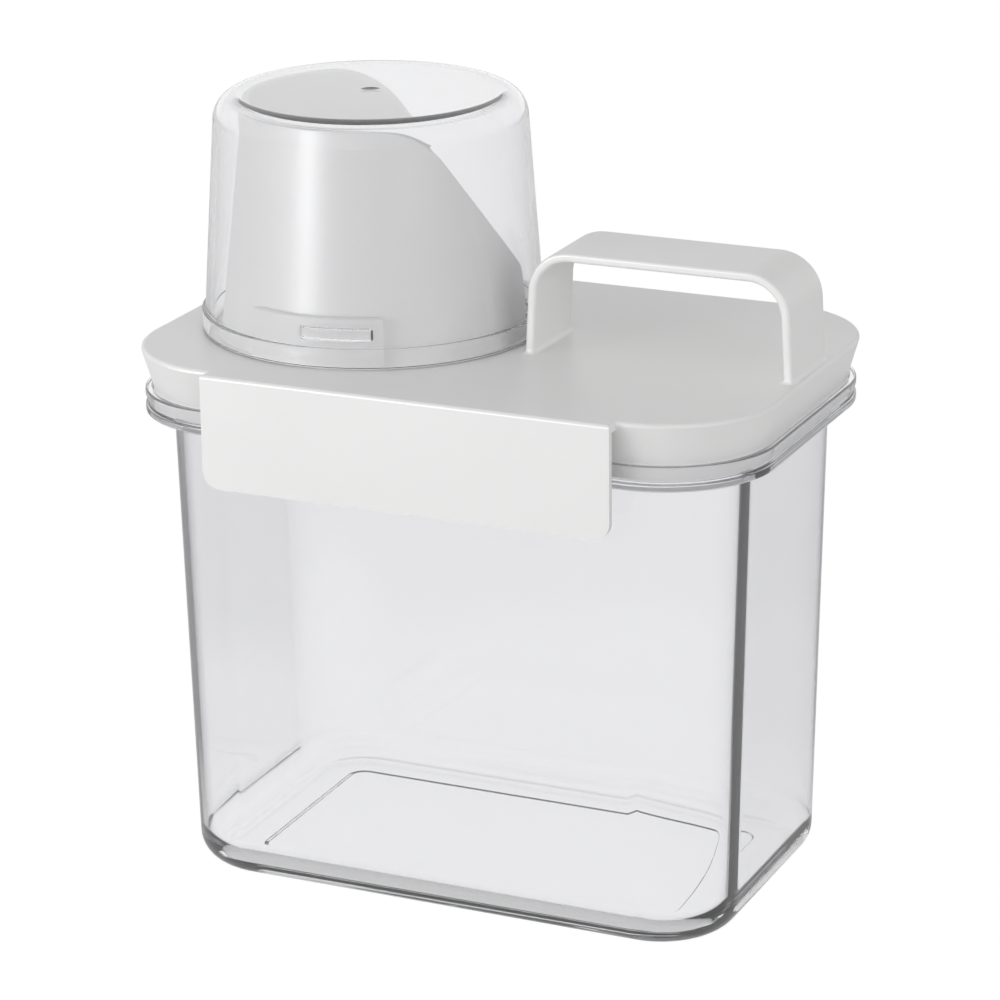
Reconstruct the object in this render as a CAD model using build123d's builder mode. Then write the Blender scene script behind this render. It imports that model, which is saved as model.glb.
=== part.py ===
"""Detergent dispenser: a clear tub, a white pouring lid with its seal, and a clear measuring cup.

Millimetres, +Z up. The origin is the middle of the tub's underside, X runs along the label plate
and -Y is the side that the plate faces.
"""

import os
from math import cos, radians, sin, tan

from build123d import *

# Tub
foot_length = 161.9
foot_width = 98.9
foot_corner_radius = 22.7
tub_draft = 1.33
tub_wall = 2.8
tub_floor = 3.7
tub_bottom_round = 8.0
inside_corner_ease = 1.9
inside_floor_round = 8.0
shoulder_height = 133.5
ledge_reach = 6.95
ledge_thickness = 2.2
collar_height = 6.7
collar_corner_radius = 30.7
collar_wall = 2.0
collar_band = 2.0
collar_groove_depth = 0.7
collar_edge_round = 0.6
foot_ring = 18.1
panel_depth = 0.8
panel_slope = 45.0
panel_corner_radius = 5.0

# Lid
plug_clearance = 0.35
plug_seat_gap = 0.5
skirt_flare = 3.35
skirt_gap = 0.3
skirt_height = 11.5
skirt_wall = 2.2
lid_thickness = 2.4
lid_edge_round = 1.0
seal_rib = 1.8
seal_rib_gap = 1.4

# Label plate on the front of the lid
plate_width = 118.0
plate_drop = 31.5
plate_stand_off = 3.6
plate_thickness = 1.8
plate_corner_radius = 5.0

# Carrying handle on the lid
handle_centre = 51.3
handle_span = 76.6
handle_height = 29.0
handle_width = 26.0
handle_thickness = 2.5
handle_lean = 3.0
handle_corner_radius = 12.0
handle_edge_round = 0.8
handle_root_round = 1.2

# Pouring spout on the lid
spout_offset = 38.1
spout_base_radius = 42.45
spout_height = 62.4
spout_draft = 6.7
spout_wall = 2.0
mouth_turn = 35.2
mouth_round = 25.0
mouth_edge_round = 0.5
mouth_trim = 2.0
ridge_offset = 6.8
mouth_low_gap = 0.7

# Catch that holds the cup on the spout: pads on the spout, lugs in the cup
catch_count = 2
pad_stand_out = 0.95
pad_height = 13.0
pad_arc = 51.0
pad_turn = -86.5
lug_clearance = 0.3
lug_foot = 7.35
lug_height = 3.0
lug_arc = 25.0
lug_turn = -77.5

# Measuring cup
cup_seat_gap = 0.25
cup_annulus = 2.76
cup_wall = 2.0
cup_floor = 2.3
cup_draft = 4.0
cup_head_room = 1.0
cup_outer_round = 7.3
cup_inner_round = 5.0
cup_rim_height = 5.6
cup_rim_stand_out = 0.6
cup_rim_round = 0.5
gate_mark_radius = 2.6
gate_mark_depth = 0.3

# Seal under the lid
seal_width = 2.4
seal_height = 3.6
seal_side_gap = 0.05
seal_foot_gap = 0.2
seal_chamfer = 0.6

# Slack for picking edges by their place
tiny = 0.01

# Levels and outlines that follow from the sizes above
draft_slope = tan(radians(tub_draft))
ledge_top = shoulder_height + ledge_thickness
collar_top = shoulder_height + collar_height
collar_grow = shoulder_height * draft_slope + ledge_reach
mouth_grow = collar_grow - collar_wall
plug_grow = mouth_grow - plug_clearance
plug_bottom = ledge_top + plug_seat_gap
skirt_bottom = collar_top + skirt_gap
skirt_slope = skirt_flare / skirt_height
skirt_angle = 90 - Vector(skirt_flare, skirt_height).get_angle(Vector(1, 0))
lid_grow = plug_grow + skirt_flare
lid_top = skirt_bottom + skirt_height
lid_under = lid_top - lid_thickness
channel_grow = plug_grow - skirt_wall
rib_grow = channel_grow - seal_width - 2 * seal_side_gap
plate_front = foot_width / 2 + lid_grow + plate_stand_off
spout_top = lid_top + spout_height
spout_bore = spout_base_radius - spout_wall
tube_top = spout_top + mouth_trim
spout_slope = tan(radians(spout_draft))
pad_radius = spout_base_radius + pad_stand_out
tube_top_radius = spout_base_radius - (tube_top - lid_top) * spout_slope
mouth_low = lid_top + pad_height + mouth_low_gap
mouth_low_radius = spout_base_radius - (mouth_low - lid_top) * spout_slope
mouth_slope = (spout_top - mouth_low) / (mouth_low_radius - ridge_offset)
cup_bottom = lid_top + cup_seat_gap
cup_inside_top = spout_top + cup_head_room
cup_top = cup_inside_top + cup_floor
gate_mark_sphere = (gate_mark_radius ** 2 + gate_mark_depth ** 2) / (2 * gate_mark_depth)
handle_left = handle_centre - handle_span / 2 - tiny
handle_right = handle_centre + handle_span / 2 + tiny
spout_axis = Axis((-spout_offset, 0, 0), (0, 0, 1))
spout_section = Plane(origin=(-spout_offset, 0, 0), x_dir=(1, 0, 0), z_dir=(0, -1, 0))


def tub_outline(grow, ease=0.0):
    """The tub's plan, a rectangle with round corners, moved outwards by grow; ease tightens its corners."""
    RectangleRounded(foot_length + 2 * grow, foot_width + 2 * grow, foot_corner_radius + grow - ease)


def rim_outline(grow, mode=Mode.ADD):
    """The plan of the collar and the lid: the tub's plan moved outwards, with the collar's corners."""
    corner_radius = collar_corner_radius + grow - collar_grow
    RectangleRounded(foot_length + 2 * grow, foot_width + 2 * grow, corner_radius, mode=mode)


def facing_down(height):
    """A plane at a height that faces the floor, for walls that narrow downwards."""
    return Plane(origin=(0, 0, height), x_dir=(1, 0, 0), z_dir=(0, 0, -1))


def ring_sectors(inner_radius, outer_radius, arc, turn):
    """Equal arcs of a ring about the spout's axis, evenly spaced, for the current sketch."""
    reach = 2 * outer_radius
    half_width = reach * tan(radians(arc / 2))
    with Locations((-spout_offset, 0)):
        with PolarLocations(0, catch_count, start_angle=turn):
            Polygon((0, 0), (reach, -half_width), (reach, half_width), align=None)
        Circle(outer_radius, mode=Mode.INTERSECT)
        Circle(inner_radius, mode=Mode.SUBTRACT)


def cup_inside_radius(height):
    """Radius of the cup's drafted inside wall at a height above the floor of the room."""
    return spout_base_radius + cup_annulus - (height - cup_bottom) * tan(radians(cup_draft))


# Collar round the tub's mouth, with a shallow groove between an upper and a lower band
with BuildPart() as collar:
    with BuildSketch(Plane.XY.offset(shoulder_height)):
        rim_outline(collar_grow)
    extrude(amount=collar_height)
    with BuildSketch(Plane.XY.offset(shoulder_height + collar_band)):
        rim_outline(collar_grow)
        rim_outline(collar_grow - collar_groove_depth, mode=Mode.SUBTRACT)
    extrude(amount=collar_height - 2 * collar_band, mode=Mode.SUBTRACT)
    collar_ends = collar.faces().filter_by(Plane.XY).sort_by(Axis.Z)
    fillet(collar_ends[0].edges() + collar_ends[-1].edges(), collar_edge_round)

# Space inside the tub's walls, rounded along the floor
with BuildPart() as tub_inside:
    with BuildSketch(Plane.XY.offset(tub_floor)):
        tub_outline(tub_floor * draft_slope - tub_wall, inside_corner_ease)
    extrude(amount=ledge_top - tub_floor, taper=-tub_draft)
    fillet(tub_inside.faces().sort_by(Axis.Z)[0].edges(), inside_floor_round)

# Tub: one clear moulding, drafted, with a ledge under the collar and a shallow panel let into its underside
with BuildPart() as tub:
    with BuildSketch():
        tub_outline(0)
    extrude(amount=shoulder_height, taper=-tub_draft)
    fillet(tub.faces().sort_by(Axis.Z)[0].edges(), tub_bottom_round)
    add(collar.part)
    with BuildSketch(Plane.XY.offset(ledge_top)):
        rim_outline(mouth_grow)
    extrude(amount=collar_height, mode=Mode.SUBTRACT)
    add(tub_inside.part, mode=Mode.SUBTRACT)
    with BuildSketch():
        RectangleRounded(foot_length - 2 * foot_ring, foot_width - 2 * foot_ring, panel_corner_radius)
    extrude(amount=panel_depth, taper=panel_slope, mode=Mode.SUBTRACT)

# Handle: a flat strap bent into an arch, with its feet let into the lid
with BuildPart() as handle:
    foot_level = lid_top - lid_thickness / 2
    lean = tan(radians(handle_lean))
    side_step = handle_thickness / cos(radians(handle_lean))
    foot_half = handle_span / 2 + (lid_top - foot_level) * lean
    top_level = lid_top + handle_height
    top_half = handle_span / 2 - handle_height * lean
    under_level = top_level - handle_thickness
    under_half = top_half + handle_thickness * lean - side_step
    with BuildSketch(Plane(origin=(handle_centre, 0, 0), x_dir=(1, 0, 0), z_dir=(0, -1, 0))):
        with BuildLine():
            outer = FilletPolyline(
                (-foot_half, foot_level), (-top_half, top_level),
                (top_half, top_level), (foot_half, foot_level),
                radius=handle_corner_radius)
            inner = FilletPolyline(
                (side_step - foot_half, foot_level), (-under_half, under_level),
                (under_half, under_level), (foot_half - side_step, foot_level),
                radius=handle_corner_radius - handle_thickness)
            Line(outer @ 0, inner @ 0)
            Line(outer @ 1, inner @ 1)
        make_face()
    extrude(amount=handle_width / 2, both=True)
    strap_sides = handle.faces().filter_by(Plane.XZ)
    strap_edges = strap_sides.edges().filter_by(lambda edge: edge.center().Z > lid_top)
    fillet(strap_edges, handle_edge_round)

# Cut across the spout's mouth: level at its lip, then falling on a slant, with a wide round between them
with BuildPart() as mouth_cut:
    descent = Vector(cos(radians(mouth_turn)), sin(radians(mouth_turn)), 0)
    sideways = descent.cross(Vector(0, 0, 1))
    mouth_plane = Plane(origin=(-spout_offset, 0, spout_top), x_dir=descent, z_dir=sideways)
    reach = 2 * spout_base_radius
    slant_end = ridge_offset + reach
    with BuildSketch(mouth_plane):
        with BuildLine():
            mouth_line = FilletPolyline(
                (-reach, 0), (ridge_offset, 0), (slant_end, -reach * mouth_slope), radius=mouth_round)
            Polyline(mouth_line @ 1, (slant_end, reach), (-reach, reach), mouth_line @ 0)
        make_face()
    extrude(amount=reach, both=True)

# Spout: a drafted tube with catch pads round its foot
with BuildPart() as spout:
    with BuildSketch(spout_section):
        with BuildLine():
            Polyline(
                (spout_bore, lid_under), (spout_base_radius, lid_under), (spout_base_radius, lid_top),
                (tube_top_radius, tube_top), (tube_top_radius - spout_wall, tube_top), (spout_bore, lid_top),
                close=True)
        make_face()
    revolve(axis=spout_axis)
    with BuildSketch(Plane.XY.offset(lid_top)):
        ring_sectors(spout_base_radius - spout_wall / 2, pad_radius, pad_arc, pad_turn)
    extrude(amount=pad_height)
    add(mouth_cut.part, mode=Mode.SUBTRACT)
    mouth_edges = spout.edges(Select.LAST).filter_by(GeomType.LINE, reverse=True)
    fillet(mouth_edges, mouth_edge_round)

# Space under the lid, inside its leaning skirt and its plug
with BuildPart() as lid_inside:
    with BuildSketch(facing_down(lid_under)):
        rim_outline(channel_grow + (lid_under - skirt_bottom) * skirt_slope)
    extrude(amount=lid_under - skirt_bottom, taper=skirt_angle)
    with BuildSketch(facing_down(skirt_bottom)):
        rim_outline(channel_grow)
    extrude(amount=skirt_bottom - plug_bottom)

# Lid: one white moulding with its skirt, plug, seal rib, label plate, handle and spout
with BuildPart() as lid:
    with BuildSketch(facing_down(lid_top)):
        rim_outline(lid_grow)
    extrude(amount=skirt_height, taper=skirt_angle)
    with BuildSketch(facing_down(skirt_bottom)):
        rim_outline(plug_grow)
    extrude(amount=skirt_bottom - plug_bottom)
    add(lid_inside.part, mode=Mode.SUBTRACT)
    with BuildSketch(facing_down(lid_under)):
        rim_outline(rib_grow)
        rim_outline(rib_grow - seal_rib, mode=Mode.SUBTRACT)
    extrude(amount=lid_under - ledge_top - seal_rib_gap)
    with BuildSketch(Plane.XY.offset(lid_under)):
        with Locations((0, -plate_front)):
            Rectangle(plate_width, plate_front, align=(Align.CENTER, Align.MIN))
    extrude(amount=lid_thickness)
    with BuildSketch(Plane.XZ.offset(plate_front - plate_thickness)):
        with BuildLine():
            plate_edge = FilletPolyline(
                (-plate_width / 2, lid_top), (-plate_width / 2, lid_top - plate_drop),
                (plate_width / 2, lid_top - plate_drop), (plate_width / 2, lid_top),
                radius=plate_corner_radius)
            Line(plate_edge @ 1, plate_edge @ 0)
        make_face()
    extrude(amount=plate_thickness)
    fillet(lid.faces().sort_by(Axis.Z)[-1].edges(), lid_edge_round)
    with BuildSketch(Plane.XY.offset(lid_under)):
        with Locations((-spout_offset, 0)):
            Circle(spout_bore)
    extrude(amount=lid_thickness, mode=Mode.SUBTRACT)
    add(spout.part)
    add(handle.part)
    handle_roots = lid.edges().filter_by_position(Axis.Z, lid_top - tiny, lid_top + tiny)
    handle_roots = handle_roots.filter_by_position(Axis.Y, -handle_width / 2 - tiny, handle_width / 2 + tiny)
    fillet(handle_roots.filter_by_position(Axis.X, handle_left, handle_right), handle_root_round)

# Seal: a soft square ring held between the lid's plug and its rib
with BuildPart() as lid_seal:
    with BuildSketch(Plane.XY.offset(ledge_top + seal_foot_gap)):
        rim_outline(channel_grow - seal_side_gap)
        rim_outline(channel_grow - seal_side_gap - seal_width, mode=Mode.SUBTRACT)
    extrude(amount=seal_height)
    chamfer(lid_seal.faces().sort_by(Axis.Z)[0].edges(), seal_chamfer)

# Measuring cup: a drafted beaker turned upside down over the spout, with a bead round its mouth
with BuildPart() as measuring_cup:
    rim_top = cup_bottom + cup_rim_height
    mouth_radius = cup_inside_radius(cup_bottom)
    bead_radius = mouth_radius + cup_wall + cup_rim_stand_out
    inner_corner = (cup_inside_radius(cup_inside_top), cup_inside_top)
    outer_corner = (cup_inside_radius(cup_top) + cup_wall, cup_top)
    with BuildSketch(spout_section) as cup_wall_section:
        with BuildLine():
            Polyline(
                (0, cup_inside_top), inner_corner, (mouth_radius, cup_bottom),
                (bead_radius, cup_bottom), (bead_radius, rim_top),
                (cup_inside_radius(rim_top) + cup_wall, rim_top), outer_corner, (0, cup_top), close=True)
        make_face()
        fillet(cup_wall_section.vertices().sort_by_distance(inner_corner).first, cup_inner_round)
        fillet(cup_wall_section.vertices().sort_by_distance(outer_corner).first, cup_outer_round)
        for bead_corner in ((mouth_radius, cup_bottom), (bead_radius, cup_bottom), (bead_radius, rim_top)):
            fillet(cup_wall_section.vertices().sort_by_distance(bead_corner).first, cup_rim_round)
    revolve(axis=spout_axis)
    with BuildSketch(Plane.XY.offset(cup_bottom + lug_foot)):
        wall_middle = cup_inside_radius(cup_bottom + lug_foot + lug_height / 2) + cup_wall / 2
        ring_sectors(pad_radius + lug_clearance, wall_middle, lug_arc, lug_turn)
    extrude(amount=lug_height)
    with Locations((-spout_offset, 0, cup_top + gate_mark_sphere - gate_mark_depth)):
        Sphere(gate_mark_sphere, mode=Mode.SUBTRACT)

tub.part.label = "tub"
lid.part.label = "lid"
lid_seal.part.label = "lid_seal"
measuring_cup.part.label = "measuring_cup"

os.makedirs("parts", exist_ok=True)
export_step(tub.part, "parts/tub.step")
export_step(lid.part, "parts/lid.step")
export_step(lid_seal.part, "parts/lid_seal.step")
export_step(measuring_cup.part, "parts/measuring_cup.step")
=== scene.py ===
"""Looks of the detergent dispenser: clear tub and cup, satin white lid, soft seal.

Metres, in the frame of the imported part: +Z up, label plate towards -Y, spout at -X. The sizes of the two clear
mouldings are written in millimetres, as the solids have them, and turned into metres where their meshes are made.
"""

import bpy
import numpy as np
from mathutils import Matrix, Vector


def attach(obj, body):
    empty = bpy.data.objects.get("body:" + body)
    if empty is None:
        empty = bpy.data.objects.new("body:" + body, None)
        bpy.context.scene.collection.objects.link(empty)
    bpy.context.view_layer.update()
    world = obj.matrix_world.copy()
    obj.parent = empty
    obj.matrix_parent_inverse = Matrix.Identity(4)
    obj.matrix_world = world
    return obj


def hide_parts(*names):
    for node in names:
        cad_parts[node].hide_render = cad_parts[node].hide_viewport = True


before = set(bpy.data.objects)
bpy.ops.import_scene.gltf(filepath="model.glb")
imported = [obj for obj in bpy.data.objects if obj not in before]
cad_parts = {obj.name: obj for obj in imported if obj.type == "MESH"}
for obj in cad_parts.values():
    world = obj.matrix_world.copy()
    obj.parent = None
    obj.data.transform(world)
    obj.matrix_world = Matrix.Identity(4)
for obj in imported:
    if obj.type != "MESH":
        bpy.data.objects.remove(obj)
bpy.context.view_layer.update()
scene = bpy.context.scene
metre = 0.001

# Tub, in millimetres; an ease is what a part of the profile adds to the plan's corner radius
foot_half = np.array((80.95, 49.45))
foot_corner = 22.7
wall_slope = np.tan(np.radians(1.33))
wall = 2.8
floor_top = 3.7
shoulder = 133.5
ledge_reach = 6.95
ledge_top = 135.7
collar_reach = shoulder * wall_slope + ledge_reach
collar_top = 140.2
collar_wall = 2.0
collar_band = 2.0
groove_depth = 0.7
foot_ring = 18.1
panel_depth = 0.8
panel_shift = 0.65
panel_fan_reach = -21.9
inside_fan_reach = -18.0
bottom_round = 8.0
panel_round = 0.3
shoulder_round = 0.4
rim_round = 0.6
groove_round = 0.25
collar_mouth_round = 0.35
collar_ease = -2.05
inside_ease = -1.9
panel_ease = 0.4
corner_columns = 25

# Measuring cup, in millimetres and, round its axis, in degrees
cup_axis = -38.1
cup_mouth = 152.25
cup_top = 217.7
cup_ceiling = 215.4
cup_slope = np.tan(np.radians(4.0))
cup_wall = 2.0
cup_mouth_radius = 45.21
cup_inner_round = 5.0
cup_outer_round = 7.3
ceiling_fan_radius = 1.0
bead_radius = 47.81
bead_top = cup_mouth + 5.6
bead_round = 0.5
bead_root_round = 0.4
gate_depth = 0.3
gate_mark = ((2.6, 0, 0.8), (1.3, 0.24, 2.0), (0.3, gate_depth, 0))  # radius, depth and round, from its rim inwards
lug_radius = 43.7
lug_levels = (159.6, 162.6)
lug_middles = (-77.5, 102.5)
lug_half_arc = 12.5
lug_edge_half = 0.45
lug_end_half = 0.6
lug_row_step = 0.6
soft_edge_rows = 7
cup_column_step = 1.25
cup_arc_step = 5.0


def rounded_profile(corners, step=7.5):
    """A profile with rounded corners: its points, their unit normals and the corner that each belongs to.

    Rows of corners are (reach, height, radius, ...). Where the profile turns by an angle a, both runs are cut
    back by radius * tan(a / 2) and an arc joins them, so the tangent never jumps. A normal is the tangent turned
    a quarter turn to the right of travel. An arc has a point for every step of degrees that it turns by.
    """
    corners = np.array(corners, float)
    place = corners[:, :2]
    runs = np.diff(place, axis=0)
    runs /= np.linalg.norm(runs, axis=1)[:, None]
    points = [place[:1]]
    tangents = [runs[:1]]
    owners = [np.zeros(1, int)]
    for index in range(1, len(corners) - 1):
        before, after = runs[index - 1], runs[index]
        turn = np.arctan2(before[0] * after[1] - before[1] * after[0], before @ after)
        count = int(np.ceil(abs(np.degrees(turn)) / step))
        angle = turn * np.linspace(0, 1, count + 1)
        tangent = np.stack([before[0] * np.cos(angle) - before[1] * np.sin(angle),
                            before[0] * np.sin(angle) + before[1] * np.cos(angle)], axis=1)
        left = np.stack([-tangent[:, 1], tangent[:, 0]], axis=1)
        radius = np.sign(turn) * corners[index, 2]
        start = place[index] - before * abs(radius) * np.tan(abs(turn) / 2)
        points.append(start + radius * (left[0] - left))
        tangents.append(tangent)
        owners.append(np.full(count + 1, index))
    points.append(place[-1:])
    tangents.append(runs[-1:])
    owners.append(np.full(1, len(corners) - 1))
    tangents = np.concatenate(tangents)
    normals = np.stack([tangents[:, 1], -tangents[:, 0]], axis=1)
    return np.concatenate(points), normals, np.concatenate(owners)


def grid_piece(name, points, normals, first_pole, last_pole):
    """A closed piece from a grid of points: rows follow a profile, columns go round, and a fan shuts each end.

    The face of row i and column j has the corners (i, j), (i, j+1), (i+1, j+1), (i+1, j), with the column after
    the last one being the first again. Every vertex takes its worked-out normal.
    """
    rows, columns = points.shape[:2]
    here = np.arange(columns)
    beside = np.roll(here, -1)
    row = columns * np.arange(rows - 1)[:, None]
    quads = np.stack([row + here, row + beside, row + columns + beside, row + columns + here], axis=-1)
    first, last = rows * columns, rows * columns + 1
    end = (rows - 1) * columns
    start_fan = np.stack([np.full(columns, first), beside, here], axis=-1)
    end_fan = np.stack([end + here, end + beside, np.full(columns, last)], axis=-1)
    places = np.concatenate([points.reshape(-1, 3), [first_pole, last_pole]]) * metre
    faces = quads.reshape(-1, 4).tolist() + start_fan.tolist() + end_fan.tolist()
    mesh = bpy.data.meshes.new(name)
    mesh.from_pydata(places.tolist(), [], faces)
    mesh.shade_smooth()
    directions = np.concatenate([normals.reshape(-1, 3), normals[0, :1], normals[-1, :1]])
    mesh.normals_split_custom_set_from_vertices(directions.tolist())
    piece = bpy.data.objects.new(name, mesh)
    scene.collection.objects.link(piece)
    return piece


def clear_tub():
    """The tub: a closed profile of its wall carried round its plan.

    The plan is a rectangle with round corners. A profile point (reach, height) moves it outwards by reach, so its
    half sides and its corner radius all grow by reach, and ease is added to that radius. The roof of the panel
    under the floor is shifted to the front right, so that its walls are steep there and gentle at the back left.
    """
    groove_reach = collar_reach - groove_depth
    inner_reach = collar_reach - collar_wall
    lower_band = shoulder + collar_band
    upper_band = collar_top - collar_band
    corners = [
        (panel_fan_reach, panel_depth, 0, panel_ease),
        (-foot_ring - panel_depth, panel_depth, panel_round, panel_ease),
        (-foot_ring, 0, panel_round, panel_ease),
        (0, 0, bottom_round, 0),
        (shoulder * wall_slope, shoulder, shoulder_round, 0),
        (collar_reach, shoulder, rim_round, collar_ease),
        (collar_reach, lower_band, groove_round, collar_ease),
        (groove_reach, lower_band, groove_round, collar_ease),
        (groove_reach, upper_band, groove_round, collar_ease),
        (collar_reach, upper_band, groove_round, collar_ease),
        (collar_reach, collar_top, rim_round, collar_ease),
        (inner_reach, collar_top, collar_mouth_round, collar_ease),
        (inner_reach, ledge_top, shoulder_round, collar_ease),
        (ledge_top * wall_slope - wall, ledge_top, shoulder_round, inside_ease),
        (floor_top * wall_slope - wall, floor_top, bottom_round, inside_ease),
        (inside_fan_reach, floor_top, 0, inside_ease),
    ]
    panel_corners = 3
    profile, lean, owner = rounded_profile(corners)
    reach, height = profile[:, :1], profile[:, 1:]
    ease = np.array(corners)[owner, 3][:, None]
    shift = panel_shift * np.clip(height / panel_depth, 0, 1) * (owner[:, None] < panel_corners)
    radius = foot_corner + reach + ease
    quarter = np.repeat(np.arange(4), corner_columns)
    angle = np.radians(90 * quarter + np.tile(np.linspace(0, 90, corner_columns), 4))
    side_x = np.array((1, -1, -1, 1))[quarter]
    side_y = np.array((1, 1, -1, -1))[quarter]
    x = side_x * (foot_half[0] + reach - radius) + radius * np.cos(angle) + shift
    y = side_y * (foot_half[1] + reach - radius) + radius * np.sin(angle) - shift
    points = np.stack([x, y, height + 0 * x], axis=-1)
    out, rise = lean[:, :1], lean[:, 1:]
    normals = np.stack([out * np.cos(angle), out * np.sin(angle), rise + 0 * x], axis=-1)
    return grid_piece("clear_tub", points, normals, (0, 0, panel_depth), (0, 0, floor_top))


def smooth_step(distance, half_width):
    """0 below -half_width, 1 above it, and 3 t^2 - 2 t^3 between."""
    t = np.clip(distance / (2 * half_width) + 0.5, 0, 1)
    return t * t * (3 - 2 * t)


def cup_inside(level):
    """Radius of the cup's drafted inside wall at a level: it falls evenly from the mouth upwards."""
    return cup_mouth_radius - (level - cup_mouth) * cup_slope


def clear_cup():
    """The measuring cup: a closed profile carried round the spout's axis, with two lugs raised inside.

    Inside, the radius falls by the lug's height where both its smooth steps are 1: one along the axis, between
    the lug's levels, and one round it, within half its arc of the lug's middle. Near a lug the normals are the
    cross products of the grid's own directions.
    """
    lug_foot, lug_head = lug_levels
    edge_steps = np.linspace(-lug_edge_half, lug_edge_half, soft_edge_rows)
    middle_rows = np.mean(lug_levels) + lug_row_step * np.arange(-1, 2)
    lug_rows = np.sort(np.concatenate([lug_head - edge_steps, lug_foot - edge_steps, middle_rows]))[::-1]
    corners = [(ceiling_fan_radius, cup_ceiling, 0), (cup_inside(cup_ceiling), cup_ceiling, cup_inner_round)]
    first_lug_row = len(corners)
    corners += [(cup_inside(level), level, 0) for level in lug_rows]
    after_lug_rows = len(corners)
    corners += [
        (cup_inside(cup_mouth), cup_mouth, bead_round),
        (bead_radius, cup_mouth, bead_round),
        (bead_radius, bead_top, bead_round),
        (cup_inside(bead_top) + cup_wall, bead_top, bead_root_round),
        (cup_inside(cup_top) + cup_wall, cup_top, cup_outer_round),
    ]
    corners += [(radius, cup_top - depth, bend) for radius, depth, bend in gate_mark]
    profile, lean, owner = rounded_profile(corners, cup_arc_step)
    radius, level = profile[:, :1], profile[:, 1:]
    lug_ends = np.add.outer(lug_middles, (-lug_half_arc, lug_half_arc)).ravel()
    end_steps = np.linspace(-lug_end_half, lug_end_half, soft_edge_rows)
    end_columns = np.add.outer(lug_ends, end_steps).ravel() % 360
    turn = np.unique(np.concatenate([np.arange(0, 360, cup_column_step), end_columns]).round(4))
    from_middle = np.abs((np.subtract.outer(turn, lug_middles) + 180) % 360 - 180).min(axis=1)
    inner = ((owner >= first_lug_row) & (owner < after_lug_rows))[:, None]
    raised = smooth_step(level - lug_foot, lug_edge_half) * smooth_step(lug_head - level, lug_edge_half) * inner
    raised = raised * smooth_step(lug_half_arc - from_middle, lug_end_half)
    bent = radius - raised * (radius - lug_radius)
    angle = np.radians(turn)
    points = np.stack([cup_axis + bent * np.cos(angle), bent * np.sin(angle), level + 0 * bent], axis=-1)
    out, rise = lean[:, :1], lean[:, 1:]
    normals = np.stack([out * np.cos(angle), out * np.sin(angle), rise + 0 * bent], axis=-1)
    round_way = np.roll(points, -1, axis=1) - np.roll(points, 1, axis=1)
    along = np.gradient(points, axis=0)
    found = np.cross(round_way, along)
    found /= np.linalg.norm(found, axis=-1)[..., None] + 1e-12
    change = np.abs(np.gradient(raised, axis=0)) + np.abs(np.gradient(raised, axis=1))
    near_lug = (change + raised > 0) & inner
    normals = np.where(near_lug[..., None], found, normals)
    ceiling_pole = (cup_axis, 0, cup_ceiling)
    gate_pole = (cup_axis, 0, cup_top - gate_depth)
    return grid_piece("clear_cup", points, normals, ceiling_pole, gate_pole)


def grey(level):
    """A neutral colour."""
    return (level, level, level, 1)


def new_material(name):
    """An empty node material: itself, its tree, its Principled shader and its output."""
    material = bpy.data.materials.new(name)
    material.use_nodes = True
    tree = material.node_tree
    return material, tree, tree.nodes["Principled BSDF"], tree.nodes["Material Output"]


def set_sockets(node, **inputs):
    """Sets some of a node's sockets; underscores in a socket's name stand for spaces."""
    for key, value in inputs.items():
        node.inputs[key.replace("_", " ")].default_value = value
    return node


def add_node(tree, kind, **inputs):
    """A new node of a kind, with some of its sockets set."""
    return set_sockets(tree.nodes.new(kind), **inputs)


def add_noise(tree, scale, detail, roughness):
    """Noise on the piece's own coordinates, as a socket."""
    place = tree.nodes.new("ShaderNodeTexCoord")
    noise = add_node(tree, "ShaderNodeTexNoise", Scale=scale, Detail=detail, Roughness=roughness)
    tree.links.new(place.outputs["Object"], noise.inputs["Vector"])
    return noise.outputs["Fac"]


def add_bump(tree, height, strength, distance, shader):
    """Bends a shader's normals by a height."""
    bump = add_node(tree, "ShaderNodeBump", Strength=strength, Distance=distance)
    tree.links.new(height, bump.inputs["Height"])
    tree.links.new(bump.outputs["Normal"], shader.inputs["Normal"])


def clear_plastic(name):
    """Polished clear moulding: it refracts, lets lamps through, tints along its walls and ripples faintly."""
    material, tree, shader, output = new_material(name)
    set_sockets(shader, Base_Color=(0.97, 0.97, 0.98, 1), Transmission_Weight=0.97, IOR=1.57, Roughness=0.0)
    ripple = add_noise(tree, scale=60.0, detail=1.0, roughness=0.55)
    add_bump(tree, ripple, strength=0.15, distance=0.00004, shader=shader)
    path = tree.nodes.new("ShaderNodeLightPath")
    open_way = add_node(tree, "ShaderNodeBsdfTransparent", Color=grey(0.84))
    mix = tree.nodes.new("ShaderNodeMixShader")
    tree.links.new(path.outputs["Is Shadow Ray"], mix.inputs[0])
    tree.links.new(shader.outputs[0], mix.inputs[1])
    tree.links.new(open_way.outputs[0], mix.inputs[2])
    tree.links.new(mix.outputs[0], output.inputs["Surface"])
    absorb = add_node(tree, "ShaderNodeVolumeAbsorption", Color=(0.2, 0.21, 0.25, 1), Density=6.0)
    tree.links.new(absorb.outputs["Volume"], output.inputs["Volume"])
    return material


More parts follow.
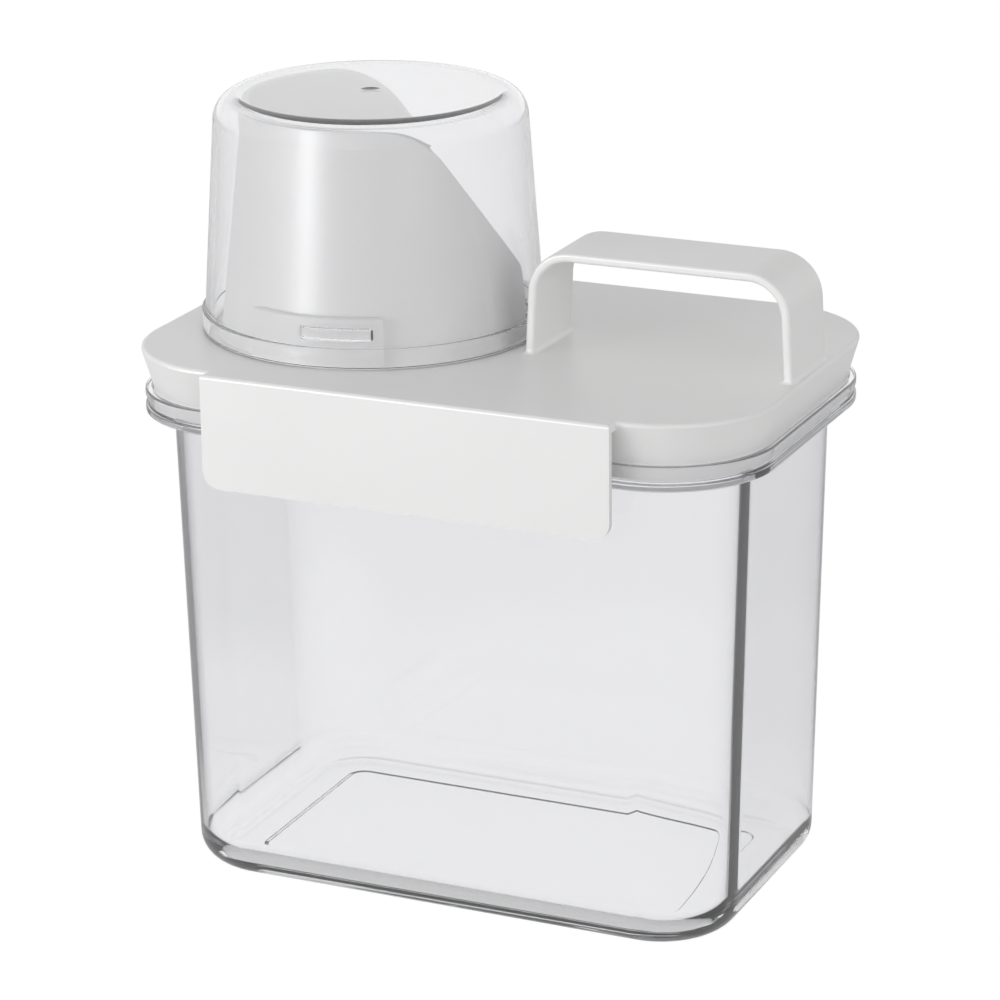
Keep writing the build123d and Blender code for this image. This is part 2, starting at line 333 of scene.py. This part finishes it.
def satin_white(name, colour, low_roughness, high_roughness):
    """White moulding: a fine spark-eroded grain, with its gloss and its white varying a little over the surface."""
    material, tree, shader, _ = new_material(name)
    set_sockets(shader, Specular_IOR_Level=0.7)
    grain = add_noise(tree, scale=2600.0, detail=2.0, roughness=0.55)
    add_bump(tree, grain, strength=0.12, distance=0.00003, shader=shader)
    cloud = add_noise(tree, scale=24.0, detail=3.0, roughness=0.5)
    gloss = add_node(tree, "ShaderNodeMapRange", To_Min=low_roughness, To_Max=high_roughness)
    tree.links.new(cloud, gloss.inputs["Value"])
    tree.links.new(gloss.outputs["Result"], shader.inputs["Roughness"])
    darker, lighter = [(*[share * channel for channel in colour], 1) for share in (0.985, 1.015)]
    shade = tree.nodes.new("ShaderNodeMix")
    shade.data_type = "RGBA"
    shade.inputs["A"].default_value = darker
    shade.inputs["B"].default_value = lighter
    tree.links.new(cloud, shade.inputs["Factor"])
    tree.links.new(shade.outputs["Result"], shader.inputs["Base Color"])
    return material


def dress(node_name, material):
    """Gives a CAD node one material."""
    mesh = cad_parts[node_name].data
    mesh.materials.clear()
    mesh.materials.append(material)


clear = clear_plastic("clear_plastic")
tub = clear_tub()
cup = clear_cup()
for piece, node, body in ((tub, "tub", "tub"), (cup, "measuring_cup", "cup")):
    piece.data.materials.append(clear)
    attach(piece, body)
    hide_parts(node)
dress("lid", satin_white("white_plastic", (0.86, 0.86, 0.855), 0.33, 0.41))
dress("lid_seal", satin_white("soft_seal", (0.84, 0.84, 0.83), 0.60, 0.75))


def surround(tree, plain, white, dim, glossy_share):
    """What a ray meets of the room, mixed from three shaders.

    White where it comes straight from the camera or through the plastic, a share of white in a reflection, dim
    once the plastic has turned it inside, and plain where it lights a surface.
    """
    path = tree.nodes.new("ShaderNodeLightPath").outputs
    any_bounce = 0.5

    def math(operation, first, second):
        """One Math node on two sockets or numbers."""
        node = tree.nodes.new("ShaderNodeMath")
        node.operation = operation
        for socket, value in zip(node.inputs, (first, second)):
            if isinstance(value, float):
                socket.default_value = value
            else:
                tree.links.new(value, socket)
        return node.outputs[0]

    def blend(share, first, second):
        """One Mix Shader node."""
        node = tree.nodes.new("ShaderNodeMixShader")
        for socket, value in zip(node.inputs, (share, first, second)):
            tree.links.new(value, socket)
        return node.outputs[0]

    through = path["Is Transmission Ray"]
    glossy = math("MULTIPLY", path["Is Glossy Ray"], glossy_share)
    straight = math("MAXIMUM", path["Is Camera Ray"], through)
    turned = math("MULTIPLY", through, math("GREATER_THAN", path["Glossy Depth"], any_bounce))
    undiffused = math("LESS_THAN", path["Diffuse Depth"], any_bounce)
    seen = blend(math("MAXIMUM", glossy, straight), plain, white)
    return blend(undiffused, plain, blend(turned, seen, dim))


# Room light: an even dim surround that carries light, and white for what is seen directly or through the plastic
world = bpy.data.worlds.new("studio")
scene.world = world
world.use_nodes = True
tree = world.node_tree
tree.nodes.clear()
ambient, white_back, dim_side = [
    add_node(tree, "ShaderNodeBackground", Color=grey(1), Strength=strength).outputs[0]
    for strength in (0.49, 1.0, 0.95)]
world_output = tree.nodes.new("ShaderNodeOutputWorld")
room = surround(tree, ambient, white_back, dim_side, glossy_share=1.0)
tree.links.new(room, world_output.inputs["Surface"])

# Floor: a pale card that shows white and keeps the object's shadow
floor_reach = 6.0
floor_level = -0.0003
floor_corners = [(x * floor_reach, y * floor_reach, floor_level) for x, y in ((-1, -1), (1, -1), (1, 1), (-1, 1))]
floor_mesh = bpy.data.meshes.new("floor")
floor_mesh.from_pydata(floor_corners, [], [(0, 1, 2, 3)])
floor = bpy.data.objects.new("floor", floor_mesh)
scene.collection.objects.link(floor)
floor_material, tree, shader, output = new_material("floor")
tree.nodes.remove(shader)
card = add_node(tree, "ShaderNodeBsdfDiffuse", Color=grey(0.86))
faint_card = add_node(tree, "ShaderNodeBsdfDiffuse", Color=grey(0.14))
glow = add_node(tree, "ShaderNodeEmission", Color=grey(1), Strength=0.93)
white_card = tree.nodes.new("ShaderNodeAddShader")
tree.links.new(faint_card.outputs[0], white_card.inputs[0])
tree.links.new(glow.outputs[0], white_card.inputs[1])

# What the plastic's edges pick up from the floor: painted shade, a glow that is dim in a ring round the object, by
# the distance from the origin, standing in for the floor that the object shades
place = tree.nodes.new("ShaderNodeTexCoord")
distance = tree.nodes.new("ShaderNodeVectorMath")
distance.operation = "LENGTH"
painted_shade_ramp = tree.nodes.new("ShaderNodeValToRGB")
stops = painted_shade_ramp.color_ramp.elements
stops[0].position, stops[0].color = 0.10, grey(0.6)
stops[1].position, stops[1].color = 0.80, grey(0.75)
# Painted shade: the dark stops of the ring round the object
for painted_shade_edge in (0.16, 0.35):
    stops.new(painted_shade_edge).color = (0.18, 0.18, 0.2, 1)
painted_shade_glow = tree.nodes.new("ShaderNodeEmission")
tree.links.new(place.outputs["Object"], distance.inputs[0])
tree.links.new(distance.outputs["Value"], painted_shade_ramp.inputs["Fac"])
tree.links.new(painted_shade_ramp.outputs["Color"], painted_shade_glow.inputs["Color"])
ground = surround(tree, card.outputs[0], white_card.outputs[0], painted_shade_glow.outputs[0], glossy_share=0.3)
tree.links.new(ground, output.inputs["Surface"])
floor_mesh.materials.append(floor_material)


def soft_light(name, place, aim_level, width, height, power):
    """A broad area lamp facing a level on the Z axis; polished faces don't mirror its outline."""
    lamp = bpy.data.lights.new(name, "AREA")
    lamp.shape = "RECTANGLE"
    lamp.size = width
    lamp.size_y = height
    lamp.energy = power
    lamp.cycles.use_multiple_importance_sampling = False
    holder = bpy.data.objects.new(name, lamp)
    holder.location = place
    holder.rotation_mode = "QUATERNION"
    holder.rotation_quaternion = (Vector((0, 0, aim_level)) - Vector(place)).to_track_quat("-Z", "Y")
    holder.visible_camera = False
    holder.visible_transmission = False
    scene.collection.objects.link(holder)
    return holder


soft_light("key", (-1.5, -1.5, 0.62), aim_level=0.1, width=1.6, height=1.0, power=18.0)
soft_light("side", (1.75, -0.95, 0.6), aim_level=0.1, width=1.2, height=1.0, power=6.5)
soft_light("front", (1.1, -1.8, 0.7), aim_level=0.1, width=1.2, height=1.0, power=2.0)
# The strip only gives the spout its upright highlight
strip = soft_light("strip", (-1.05, -1.93, 0.26), aim_level=0.15, width=0.35, height=0.48, power=28.0)
strip.visible_diffuse = False

# Camera at the photograph's viewing angle
camera_data = bpy.data.cameras.new("camera")
camera_data.sensor_width = 36.0
camera_data.lens = 143.30
camera_data.clip_start = 0.05
camera = bpy.data.objects.new("camera", camera_data)
camera_place = Vector((0.43284, -0.95239, 0.45770))
right = Vector((0.91164, 0.41083, -0.0115))
up = Vector((-0.12147, 0.29607, 0.94741))
back = Vector((0.39263, -0.8623, 0.31982))
camera_turn = Matrix((right, up, back)).transposed().to_4x4()
camera.matrix_world = Matrix.Translation(camera_place) @ camera_turn
scene.collection.objects.link(camera)
scene.camera = camera

scene.view_settings.view_transform = "Standard"
scene.cycles.max_bounces = 14
scene.cycles.glossy_bounces = 10
scene.cycles.transmission_bounces = 14
scene.cycles.blur_glossy = 0.0
